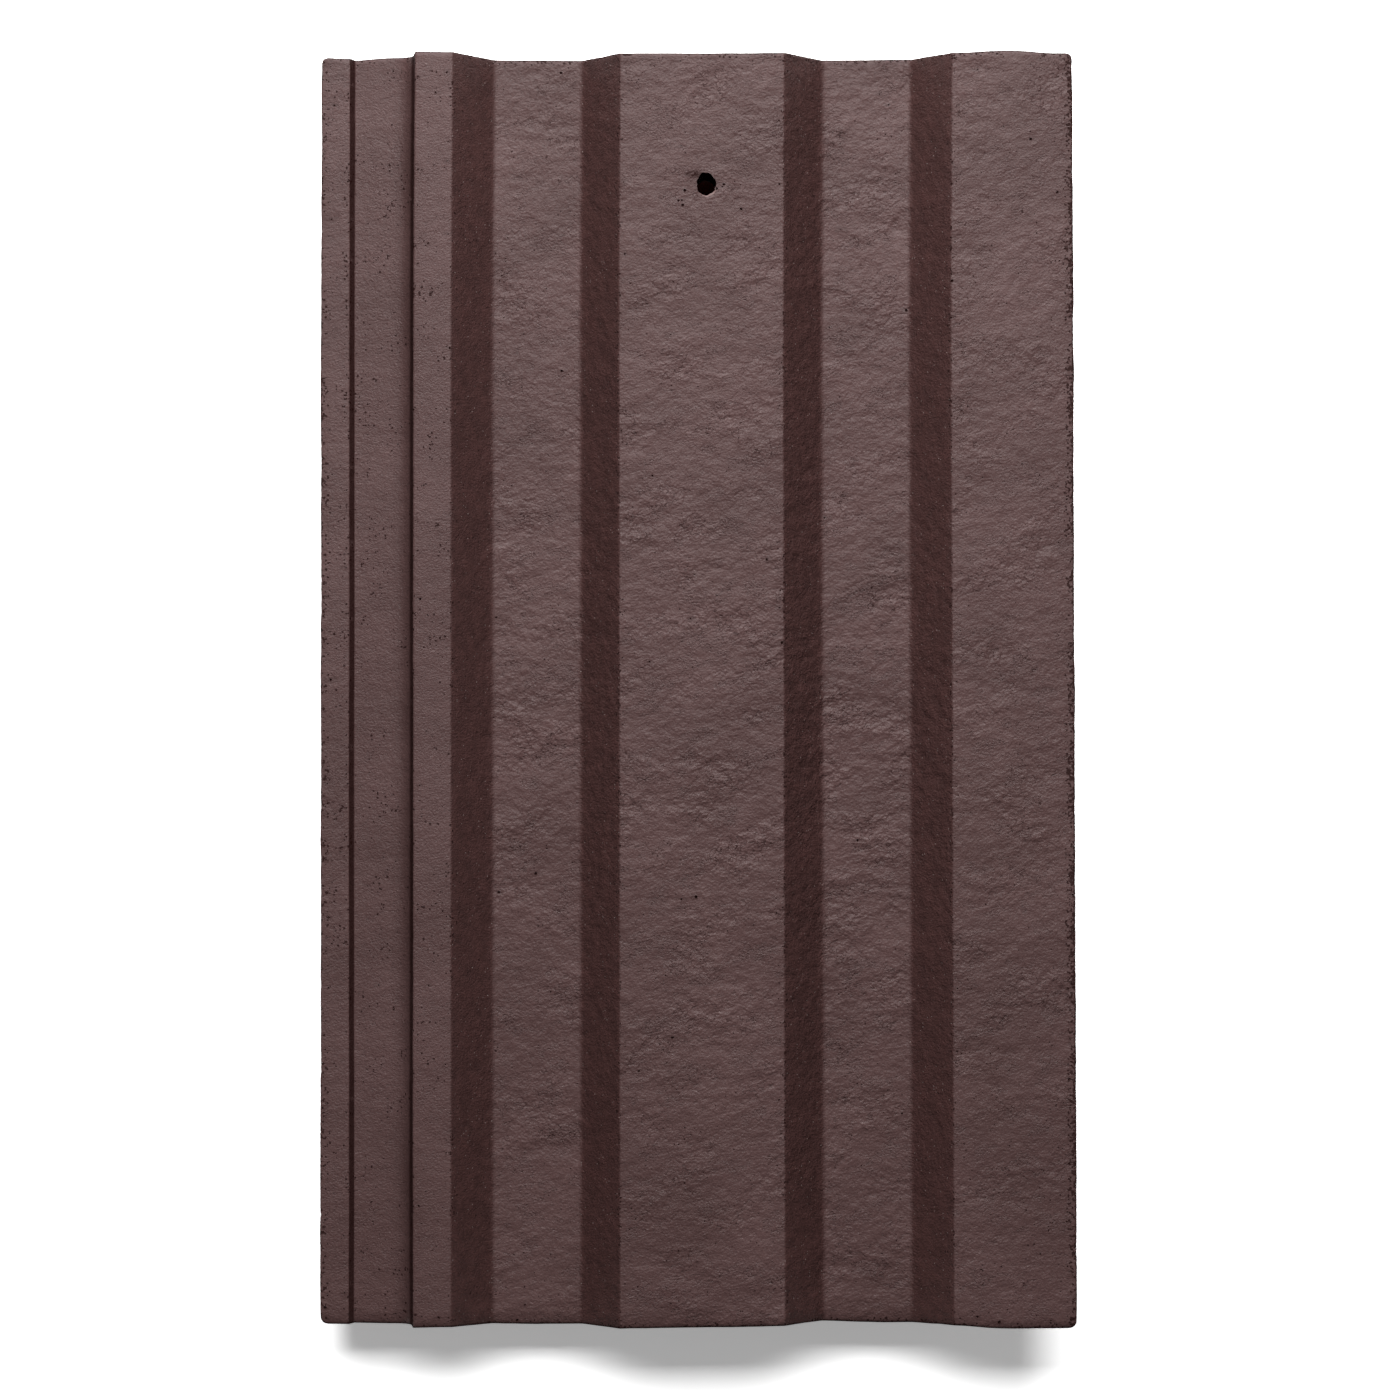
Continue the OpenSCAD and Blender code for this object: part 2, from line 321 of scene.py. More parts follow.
def buildBody(node):
    shape = tileShape
    ring = sectionOf(node)
    rolls = smallRolls(ring)
    for first, last, corner in rolls:
        if ring[first][1] > low.z + shape["rollLevel"]:
            share = shape["crispShare"] if corner[0] < low.x + shape["crispWidth"] else shape["waveShare"]
            ring[first:last + 1] = corner + (ring[first:last + 1] - corner) * share
    ahead = np.roll(ring, -1, axis=0) - ring
    outward = np.stack([-ahead[:, 1], ahead[:, 0]], 1) / np.hypot(ahead[:, 0], ahead[:, 1])[:, None]
    past = next(i for i in range(1, len(ring)) if outward[i][1] < shape["undersideTurn"])
    arrisZ = low.z + shape["arrisLevel"]
    arrises = [corner[0] for first, last, corner in rolls if last < past and corner[1] > arrisZ]
    panFloors = sorted(p[0] for p in ring if p[1] < low.z + shape["panLevel"])
    gap = max(range(len(panFloors) - 1), key=lambda i: panFloors[i + 1] - panFloors[i])
    nibMiddles = [(panFloors[0] + panFloors[gap]) / 2, (panFloors[gap + 1] + panFloors[-1]) / 2]
    crownUnder = high.z - shape["thickness"]
    lapUnder = crownUnder - barShape["depth"]
    slope = shape["panDepth"] / shape["flankWidth"]
    lapEnd = max(p[0] for p in ring if abs(p[1] - lapUnder) < shape["sameLevel"])
    barStart = lapEnd - barShape["depth"] / slope
    half = nibShape["width"] / 2
    across = [barStart - barShape["endColumn"], barStart, barStart + barShape["endColumn"]]
    for middle in nibMiddles:
        across += [middle + side * (half - d * mm) for side in (-1, 1) for d in nibShape["edgeSteps"]]
    top = splitRun(ring[:past + 1], shape["columnStep"])
    under = splitRun(np.vstack([ring[past:], ring[:1]]), shape["underColumnStep"], across)[1:-1]

    # rows along the tile; the underside keeps only some of them
    tailY, headY = low.y, high.y
    marks = {tailY + d for d in rollRows(shape["tailRoll"], shape["tailRollRows"])}
    marks |= {headY - d for d in rollRows(shape["headRoll"], shape["headRollRows"])}
    marks |= {tailY + shape["tailRow"], headY - shape["headRow"]}
    barMiddles = [tailY + barShape["setback"] + i * barShape["pitch"] + barShape["width"] / 2
                  for i in range(barShape["count"])]
    reach = barShape["width"] / 2 + barShape["margin"]
    for middle in barMiddles:
        marks |= {middle + side * (reach - d * mm) for side in (-1, 1) for d in barShape["edgeRows"]}
    battenY = headY - nibShape["setback"]
    marks |= {battenY + d * mm for d in nibShape["faceRows"]}
    noseEnd = battenY + nibShape["length"]
    marks |= {noseEnd - d * mm for d in nibShape["edgeSteps"]}
    coarse = evenFill(sorted(marks), shape["underRowStep"])
    rows = evenFill(list(coarse), shape["rowStep"])
    kept = np.array([int(np.argmin(np.abs(rows - y))) for y in coarse])

    def dropAt(y):
        # how far the weathered face is rolled down at y
        tail = np.clip(1 - (y - tailY) / shape["tailRoll"], 0, 1)
        head = np.clip(1 - (headY - y) / shape["headRoll"], 0, 1)
        tailDrop = shape["tailDrop"] * (1 - np.sqrt(1 - tail ** 2))
        return tailDrop + shape["headRoll"] * (1 - np.sqrt(1 - head ** 2))

    def insetAt(y):
        # how far the four corners pull the sides in at y
        end = np.clip(1 - np.minimum(y - tailY, headY - y) / shape["cornerRadius"], 0, 1)
        return shape["cornerRadius"] * (1 - np.sqrt(1 - end ** 2))

    def dentAt(x, dents):
        return sum(depth * np.exp(-((x - low.x - across) / reach) ** 2) for across, reach, depth in dents)

    def wander(x, y):
        # the ends and sides of a pressed tile aren't quite straight
        stray = strayShape
        tail = stray["tailPull"] + stray["tailWander"] * np.sin(x / stray["tailWave"] + stray["tailPhase"])
        tail = tail + dentAt(x, stray["tailDents"])
        head = stray["headBow"] * np.minimum(1, (x / stray["bowReach"]) ** 2) - dentAt(x, stray["headDents"])
        slow = np.sin(y / stray["sideWave"] + 1.0 + np.sign(x))
        quick = np.sin(y / stray["sideRipple"] + 2 * np.sign(x))
        side = stray["sideWander"] * (slow + stray["rippleShare"] * quick)
        nearTail = np.clip(1 - (y - tailY) / stray["endFade"], 0, 1) ** 2
        nearHead = np.clip(1 - (headY - y) / stray["endFade"], 0, 1) ** 2
        nearSide = np.clip(1 - (halfWidth - np.abs(x)) / stray["sideFade"], 0, 1)
        drift = np.clip((y - stray["skewFrom"]) / stray["skewReach"], 0, 1) ** stray["skewPower"]
        inside = np.clip((halfWidth - np.abs(x)) / stray["skewMargin"], 0, 1)
        skew = stray["headSkew"] * drift * inside
        return side * nearSide + skew, nearTail * tail + nearHead * head

    def place(section, ys, lowered):
        x = np.repeat(section[None, :, 0], len(ys), 0)
        z = np.repeat(section[None, :, 1], len(ys), 0)
        y = np.repeat(np.asarray(ys)[:, None], len(section), 1)
        if lowered:
            footZ = np.where(x < midX, section[0][1], section[-1][1])
            atWall = np.abs(x - midX) > halfWidth - shape["wallWidth"]
            wallTop = np.where(x < midX, ribTop, high.z)
            share = np.where(atWall, np.clip((z - footZ) / (wallTop - footZ), 0, 1), 1)
            z = z - dropAt(y) * share
        nearSide = np.clip(1 - (halfWidth - np.abs(x - midX)) / shape["cornerWidth"], 0, 1)
        x = x - np.sign(x - midX) * insetAt(y) * nearSide
        dx, dy = wander(x, y)
        return np.stack([x + dx, y + dy, z], 2)

    ribTop = max(p[1] for p in ring if p[0] < low.x + shape["ribWidth"])
    upper = place(top, rows, True)
    lower = place(under, rows[kept], False)

    # weather bars and nibs stand down from the underside
    flat = np.repeat(under[None], len(kept), 0)
    alongY = np.repeat(rows[kept][:, None], len(under), 1)
    bars = np.zeros(alongY.shape)
    barHalf = barShape["width"] / 2 + barShape["margin"] / 2
    for middle in barMiddles:
        bars = np.maximum(bars, eased((barHalf - np.abs(alongY - middle)) / barShape["lean"]))
    wallX = max(p[0] for p in ring if abs(p[1] - crownUnder) < shape["sameLevel"])
    onFlank = np.minimum(crownUnder, lapUnder + slope * (lapEnd - flat[:, :, 0]))
    wave = np.where(flat[:, :, 0] < lapEnd, onFlank, flat[:, :, 1])
    inReach = flat[:, :, 0] < wallX + barShape["lapReach"]
    inReach &= flat[:, :, 1] < crownUnder + barShape["below"]
    lowered = np.minimum(lower[:, :, 2], wave - bars * barShape["depth"])
    lower[:, :, 2] = np.where(inReach, lowered, lower[:, :, 2])
    for middle in nibMiddles:
        draft = nibShape["draft"] + 2 * nibShape["margin"]
        sides = eased((half + nibShape["margin"] - np.abs(flat[:, :, 0] - middle)) / draft)
        headSide = eased((noseEnd + nibShape["margin"] - alongY) / draft)
        batten = eased((alongY - battenY + nibShape["faceLean"] / 2) / nibShape["faceLean"])
        share = np.minimum(np.minimum(sides, headSide), batten)
        lower[:, :, 2] -= (lower[:, :, 2] - low.z) * share

    # points, faces and the masks that go with them
    rowsN, topN, underN = len(rows), len(top), len(under)
    points = np.vstack([upper.reshape(-1, 3), lower.reshape(-1, 3)])
    base = rowsN * topN
    quads = []
    for i in range(rowsN - 1):
        a = i * topN
        quads += [(a + j, a + j + 1, a + topN + j + 1, a + topN + j) for j in range(topN - 1)]
    for k in range(len(kept) - 1):
        a = base + k * underN
        quads += [(a + j, a + j + 1, a + underN + j + 1, a + underN + j) for j in range(underN - 1)]
        fine = range(kept[k], kept[k + 1] + 1)
        left = [r * topN for r in fine]
        right = [r * topN + topN - 1 for r in fine]
        quads.append(right[:1] + [a, a + underN] + right[:0:-1])
        quads.append([a + underN - 1] + left + [a + 2 * underN - 1])
    last = base + (len(kept) - 1) * underN
    quads.append(list(reversed(list(range(topN)) + [base + j for j in range(underN)])))
    quads.append([(rowsN - 1) * topN + j for j in range(topN)] + [last + j for j in range(underN)])

    mesh = bpy.data.meshes.new("roofTileBody")
    mesh.from_pydata(points.tolist(), [], quads)
    mesh.update()
    spec = maskShape
    steps = np.gradient(top, axis=0)
    tilt = np.abs(steps[:, 1]) / np.hypot(steps[:, 0], steps[:, 1])
    flank = np.clip((tilt - spec["flankFrom"]) / spec["flankOver"], 0, 1)
    flank = flank * (top[:, 0] > low.x + shape["crispWidth"])
    steep = np.clip((tilt - spec["steepFrom"]) / spec["steepOver"], 0, 1)
    foot = np.minimum(np.arange(topN), np.arange(topN)[::-1])
    weather = np.clip(foot / spec["footColumns"], 0, 1)
    fromEnd = np.minimum(rows - tailY, headY - rows)
    ends = np.clip(fromEnd / spec["endReach"], 0, 1)
    nearArris = np.min(np.abs(top[:, 0][:, None] - np.array(arrises)[None]), 1)
    arris = spec["arrisShare"] * np.clip(1 - (nearArris - spec["arrisFrom"]) / spec["arrisOver"], 0, 1)
    fromSide = halfWidth - np.abs(top[:, 0] - midX)
    sideEdge = np.maximum(np.clip(1 - fromSide / spec["sideReach"], 0, 1), arris)
    rowEdge = spec["rowShare"] * np.clip(1 - fromEnd / spec["rowReach"], 0, 1)
    edge = np.maximum(rowEdge[:, None], sideEdge[None, :])
    # painted shade along the outermost rows at the ends, wider at the tail, and at the lowest columns of the
    # sides
    fromBrink = np.minimum((rows - tailY) * spec["brinkTail"], headY - rows)
    brinkRow = np.clip(1 - (fromBrink - spec["brinkFrom"]) / spec["brinkOver"], 0, 1)
    brinkSide = np.clip(1 - (foot - 1.0), 0, 1)
    brinkShade = np.maximum(brinkRow[:, None], brinkSide[None, :])
    calm = [spec["calmWidth"] - spec["calmBefore"], spec["calmWidth"] + spec["calmAfter"]]
    lively = np.interp(top[:, 0] - low.x, [*calm, *spec["livelyAt"]], spec["liveliness"])
    middle = spec["middleGain"] * np.exp(-((rows - spec["middleAt"]) / spec["fadeLength"]) ** 2)
    loss = spec["tailLoss"] * np.clip((-spec["tailFrom"] - rows) / spec["fadeLength"], 0, 1)
    lively = lively[None, :] * (spec["lengthShare"] + middle - loss)[:, None]
    masks = {
        "flank": np.repeat(flank[None], rowsN, 0),
        "weather": weather[None, :] * (0.5 + 0.5 * ends[:, None]),
        "edge": edge,
        "steep": np.repeat(steep[None], rowsN, 0),
        "brinkShade": brinkShade,
        "lively": lively,
    }
    for name, values in masks.items():
        layer = mesh.attributes.new(name, "FLOAT", "POINT")
        flatValues = np.concatenate([values.ravel(), np.zeros(len(lower) * underN)])
        layer.data.foreach_set("value", flatValues.astype(np.float32))
    # 0 inside the pits and the nail hole, which the material paints dark as shade, 1 on the coat, above 1
    # where the rim is painted paler as thin coat and highlight
    skin = mesh.attributes.new("skin", "FLOAT", "FACE")
    skin.data.foreach_set("value", np.ones(len(mesh.polygons), np.float32))
    body = bpy.data.objects.new("roofTile", mesh)
    bpy.context.scene.collection.objects.link(body)
    print("body", len(mesh.vertices), "vertices", rowsN, "rows", topN, "+", underN, "columns")
    return body


reliefInputs = {
    "rippleHeight": 0.90 * mm, "rippleLength": 8 * mm, "rippleStretch": 1.15,
    "slant": math.radians(11), "rippleFade": 0.5,
    "sagHeight": 0.26 * mm, "sagLength": 60 * mm,
    "flankShare": 0.62, "wornDepth": 0.16 * mm, "wornLength": 5 * mm,
    "toneLength": 26 * mm, "crowdLength": 13 * mm, "swarmLength": 7 * mm, "rimLength": 16 * mm,
    "seed": 3.0,
}
pitInputs = {"spacing": 1.5 * mm, "density": 60000.0, "smallest": 0.20 * mm, "largest": 0.48 * mm, "seed": 5}
lumpShape = {
    "subdivisions": 2, "faces": 80, "fullTurn": 6.28, "stretch": (1.3, 0.9),
    # how thickly they are sown: anywhere, in clusters, along edges, and the part lost on flanks
    "plain": 0.012, "cluster": 0.10, "edge": 0.35, "flankLoss": 0.8, "clusterSize": 9 * mm,
}


def newGeometryTree(name, inputs):
    tree = bpy.data.node_groups.new(name, "GeometryNodeTree")
    graph = Graph(tree)
    tree.interface.new_socket("Geometry", in_out="INPUT", socket_type="NodeSocketGeometry")
    for label, value in inputs.items():
        kind = "NodeSocketInt" if isinstance(value, int) else "NodeSocketFloat"
        tree.interface.new_socket(label, in_out="INPUT", socket_type=kind)
    tree.interface.new_socket("Geometry", in_out="OUTPUT", socket_type="NodeSocketGeometry")
    source = tree.nodes.new("NodeGroupInput")
    given = {s.name: Signal(graph, s) for s in source.outputs if s.name}
    return tree, graph, given


def maskInputs(graph, names):
    kind, settings = "GeometryNodeInputNamedAttribute", {"data_type": "FLOAT"}
    return {name: graph.add(kind, settings, {"Name": name}, "Attribute") for name in names}


def closeTree(graph, geometry, material):
    real = graph.add("GeometryNodeRealizeInstances", None, {0: geometry})
    done = graph.add("GeometryNodeSetMaterial", None, {"Geometry": real, "Material": material})
    out = graph.tree.nodes.new("NodeGroupOutput")
    graph.tree.links.new(done.socket, out.inputs[0])


def bake(target, tree, inputs):
    # runs the tree on the object and returns the result as a plain mesh
    modifier = target.modifiers.new(tree.name, "NODES")
    modifier.node_group = tree
    for item in tree.interface.items_tree:
        if item.in_out == "INPUT" and item.name in inputs:
            modifier[item.identifier] = inputs[item.name]
    evaluated = target.evaluated_get(bpy.context.evaluated_depsgraph_get())
    mesh = bpy.data.meshes.new_from_object(evaluated)
    target.modifiers.remove(modifier)
    return mesh


def addRelief(body, material):
    tree, graph, given = newGeometryTree("weatheredFace", reliefInputs)
    where = graph.add("GeometryNodeInputPosition")
    outward = graph.add("GeometryNodeInputNormal")
    mask = maskInputs(graph, ("flank", "weather", "edge", "lively"))
    calm = (1 + mask["flank"] * (given["flankShare"] - 1)) * (0.35 + 0.65 * mask["lively"])
    slanted = graph.turned(where, given["slant"] * -1.0)

    def waves(length, stretch, detail, fade, shift, swirl=0.0):
        across = graph.add("ShaderNodeCombineXYZ", None, {
            "X": 1 / (length * stretch), "Y": 1 / length, "Z": 1 / length})
        start = graph.add("ShaderNodeCombineXYZ", None, {
            "X": given["seed"] * shift, "Y": given["seed"] + shift, "Z": shift})
        return graph.add("ShaderNodeTexNoise", {"noise_dimensions": "3D"}, {
            "Vector": graph.moved(graph.stretched(slanted, across), start), "Scale": 1.0, "Detail": detail,
            "Roughness": fade, "Distortion": swirl})

    rim = graph.smooth(waves(given["rimLength"], 1.0, 1.0, 0.5, 15.7), 0.27, 0.52)
    stored = {
        "tone": waves(given["toneLength"], 1.3, 3.0, 0.55, 2.9),
        "crowd": waves(given["crowdLength"], 1.5, 1.0, 0.5, 9.1),
        "swarm": graph.smooth(waves(given["swarmLength"], 1.0, 1.0, 0.5, 11.3), 0.50, 0.66),
        "rim": graph.smooth(mask["edge"], 0.45, 0.95) * rim,
    }
    calm = calm * (0.6 + 0.8 * graph.smooth(stored["crowd"], 0.4, 0.66))
    ripples = waves(given["rippleLength"], given["rippleStretch"], 1.5, given["rippleFade"], 1.3, 0.1) - 0.5
    sags = waves(given["sagLength"], 1.0, 0.0, 0.5, 5.1) - 0.5
    worn = graph.smooth(waves(given["wornLength"], 1.0, 2.0, 0.6, 7.7), 0.52, 0.75) * mask["edge"]
    height = ripples * given["rippleHeight"] * calm + sags * given["sagHeight"] - worn * given["wornDepth"]
    height = height * mask["weather"]
    push = graph.add("ShaderNodeVectorMath", {"operation": "SCALE"}, {0: outward, "Scale": height})
    moved = graph.add("GeometryNodeSetPosition", None, {"Geometry": given["Geometry"], "Offset": push})
    for name, value in stored.items():
        moved = graph.add("GeometryNodeStoreNamedAttribute", {"data_type": "FLOAT", "domain": "POINT"}, {
            "Geometry": moved, "Name": name, "Value": value})
    closeTree(graph, moved, material)
    old = body.data
    body.data = bake(body, tree, reliefInputs)
    bpy.data.meshes.remove(old)


def pitCutters(body, material):
    # small lumps sown over the weathered face, thicker along its edges
    tree, graph, given = newGeometryTree("pits", pitInputs)
    mask = maskInputs(graph, ("flank", "weather", "edge"))
    where = graph.add("GeometryNodeInputPosition")
    cluster = graph.smooth(graph.noise(where, lumpShape["clusterSize"], 1.0, 0.5, 4.0), 0.6, 0.8)
    chance = lumpShape["plain"] + cluster * lumpShape["cluster"] + mask["edge"] * lumpShape["edge"]
    chance = chance * (1 - mask["flank"] * lumpShape["flankLoss"])
    chance = chance * graph.smooth(mask["weather"], 0.5, 1.0)
    points = graph.add("GeometryNodeDistributePointsOnFaces", {"distribute_method": "POISSON"}, {
        "Mesh": given["Geometry"], "Distance Min": given["spacing"], "Density Max": given["density"],
        "Density Factor": chance, "Seed": given["seed"]})
    turn = graph.add("FunctionNodeRandomValue", {"data_type": "FLOAT_VECTOR"}, {
        "Min": (0, 0, 0), "Max": (lumpShape["fullTurn"],) * 3, "Seed": 1}, "Value")
    lot = graph.add("FunctionNodeRandomValue", {"data_type": "FLOAT"}, {
        "Min": 0.0, "Max": 1.0, "Seed": 2}, "Value")
    size = given["smallest"] + (given["largest"] - given["smallest"]) * lot * lot * lot
    lump = graph.add("GeometryNodeMeshIcoSphere", None, {
        "Radius": 1.0, "Subdivisions": lumpShape["subdivisions"]})
    stretch = graph.add("ShaderNodeCombineXYZ", None, {
        "X": size * lumpShape["stretch"][0], "Y": size * lumpShape["stretch"][1], "Z": size})
    lumps = graph.add("GeometryNodeInstanceOnPoints", None, {
        "Points": points, "Instance": lump, "Rotation": turn, "Scale": stretch})
    lumps = graph.add("GeometryNodeRealizeInstances", None, {0: lumps})
    # the pits' faces get skin 0, which the material paints dark as shade
    lumps = graph.add("GeometryNodeStoreNamedAttribute", {"data_type": "FLOAT", "domain": "FACE"}, {
        "Geometry": lumps, "Name": "skin", "Value": 0.0})
    closeTree(graph, lumps, material)
    return bake(body, tree, pitInputs)


def nailHoleCutter(centre, radius, depth):
    # a slightly oval bar with a ragged wall, and small pits beside it
    hole = nailHole
    rng = np.random.default_rng(hole["seed"])
    sides, levels = hole["sides"], [-depth, *hole["levels"]]
    shape = bmesh.new()
    coated = shape.faces.layers.float.new("skin")
    phase = rng.uniform(0, lumpShape["fullTurn"], 3)
    rings = []
    for z, flare in zip(levels, hole["flares"]):
        ring = []
        for i in range(sides):
            a = 2 * math.pi * i / sides
            waves = [size * math.sin(count * a + phase[n] + z * twist)
                     for n, (size, count, twist) in enumerate(hole["waves"])]
            rough = rng.uniform(-hole["ragged"], hole["ragged"])
            ragged = waves[0] + waves[1] + (waves[2] + rough)
            dip = max(0, -math.sin(a - hole["turnBy"])) ** hole["flarePower"]
            r = radius * (1 + ragged + flare * dip)
            x = centre.x + r * hole["oval"][0] * math.cos(a)
            y = centre.y + r * hole["oval"][1] * math.sin(a)
            ring.append(shape.verts.new((x, y, centre.z + z)))
        rings.append(ring)
    for k, (a, b) in enumerate(zip(rings[:-1], rings[1:])):
        for i in range(sides):
            face = shape.faces.new((a[i], a[(i + 1) % sides], b[(i + 1) % sides], b[i]))
            middle = 2 * math.pi * (i + 0.5) / sides
            # the rim on the tail side, facing the lamps, gets a paler colour: thin coat and painted highlight
            worn = np.clip((-math.sin(middle - hole["turnBy"]) - hole["paleRimFrom"]) * hole["paleRimGain"], 0, 1)
            face[coated] = 1.0 + worn if k >= hole["coatLevel"] else 0.0
    shape.faces.new(reversed(rings[0]))
    shape.faces.new(rings[-1])
    for x, y, r in hole["pits"]:
        spot = Matrix.Translation(centre + Vector((x, y, -hole["pitDepth"])))
        spot = spot @ Matrix.Diagonal((r * hole["pitStretch"], r, r, 1))
        bmesh.ops.create_icosphere(shape, subdivisions=2, radius=1.0, matrix=spot)
    mesh = bpy.data.meshes.new("nailHoleCutter")
    shape.to_mesh(mesh)
    shape.free()
    return mesh


def cutAway(target, cutterMesh):
    cutter = bpy.data.objects.new("cutter", cutterMesh)
    bpy.context.scene.collection.objects.link(cutter)
    modifier = target.modifiers.new("cut", "BOOLEAN")
    modifier.operation, modifier.solver, modifier.object = "DIFFERENCE", "MANIFOLD", cutter
    evaluated = target.evaluated_get(bpy.context.evaluated_depsgraph_get())
    mesh = bpy.data.meshes.new_from_object(evaluated)
    target.modifiers.remove(modifier)
    old = target.data
    target.data = mesh
    bpy.data.meshes.remove(old)
    bpy.data.objects.remove(cutter)
    bpy.data.meshes.remove(cutterMesh)


# points nearer than the reach become one; it grows with each pass
mending = {"reach": 0.001 * mm, "passes": 5, "largestFace": 4, "sharpAngle": 38, "openAngle": 3.2}


def mendMesh(target):
    # the cuts leave a few slivers, and now and then two faces back to back
    work = bmesh.new()
    work.from_mesh(target.data)
    for turn in range(mending["passes"]):
        reach = mending["reach"] * (turn + 1)
        bmesh.ops.remove_doubles(work, verts=work.verts, dist=reach)
        bmesh.ops.dissolve_degenerate(work, edges=work.edges, dist=reach)
        bmesh.ops.triangulate(work, faces=[f for f in work.faces if len(f.verts) > mending["largestFace"]])
        corners = {}
        for f in work.faces:
            corners.setdefault(frozenset(f.verts), []).append(f)
        doubled = [f for same in corners.values() if len(same) > 1 for f in same]
        bmesh.ops.delete(work, geom=doubled, context="FACES")
        openEdges = sum(1 for e in work.edges if len(e.link_faces) != 2)
        if not doubled and not openEdges:
            break
    for f in work.faces:
        f.smooth, f.material_index = True, 0
    sharp = math.radians(mending["sharpAngle"])
    for e in work.edges:
        e.smooth = len(e.link_faces) == 2 and e.calc_face_angle(mending["openAngle"]) < sharp
    triangles = sum(len(f.verts) - 2 for f in work.faces)
    work.to_mesh(target.data)
    work.free()
    while len(target.data.materials) > 1:
        target.data.materials.pop()
    state = "unsound" if openEdges or target.data.validate() else "sound"
    print("tile", triangles, "triangles,", openEdges, "open edges,", turn + 1, "passes, mesh", state)


concreteLook = {
    "coatPale": (0.103, 0.0555, 0.0535, 1),
    "coatDeep": (0.087, 0.0455, 0.0435, 1),
    # near-black: painted shade in pits, creases, hollows, along the edges, inside cut pits and the nail hole
    # and on steep walls; also the smudge's stain
    "shadeAndStain": (0.020, 0.006, 0.005, 1),
    # pale specks: sand grains and painted highlights
    "sandAndGlint": (0.24, 0.19, 0.18, 1),
    "worn": (0.175, 0.105, 0.100, 1),     # the nail hole's rim on the tail side: thin coat, lightened also as a painted highlight
    # the flanks' coat, darkened also as painted shade on the slopes
    "flankCoatAndShade": (0.062, 0.0265, 0.0245, 1),
    "slant": math.radians(11),
    "lean": math.radians(50),             # the smears on the flanks lean this much
    "rippleSize": 3.2 * mm, "weaveSize": 0.60 * mm, "veinSize": 4.5 * mm, "smearSize": 3.4 * mm,
    "bunchSize": 4.5 * mm, "spotSize": 0.62 * mm,
    # small pits: how common they are anywhere, in swarms, along worn rims, and less so elsewhere
    "pitPlain": 0.012, "pitSwarm": 0.13, "pitCalm": 0.7, "pitRim": 0.72, "pitFlank": 0.03,
    "pitRarity": 0.945, "pitSpread": 4.5, "pitRag": 1.2, "pitEdge": 5,
    "light": 0.95, "toneLight": 0.14, "calmLight": 0.01, "bunchLight": 0.06,
    # how strongly each place takes the near-black colour: painted shade, except the smudge, which is a stain
    "darkBy": {"pits": 0.8, "creases": 0.6, "hollowShade": 0.5, "smudge": 0.9, "brinkShade": 0.6, "inside": 1.3},
    "rippleBump": 0.80, "creaseBump": 0.1, "pitBump": 0.3,
    "roughness": 0.42, "weaveRough": 0.12, "darkRough": 0.3, "flankRough": 0.16,
    "specular": 0.26,
}


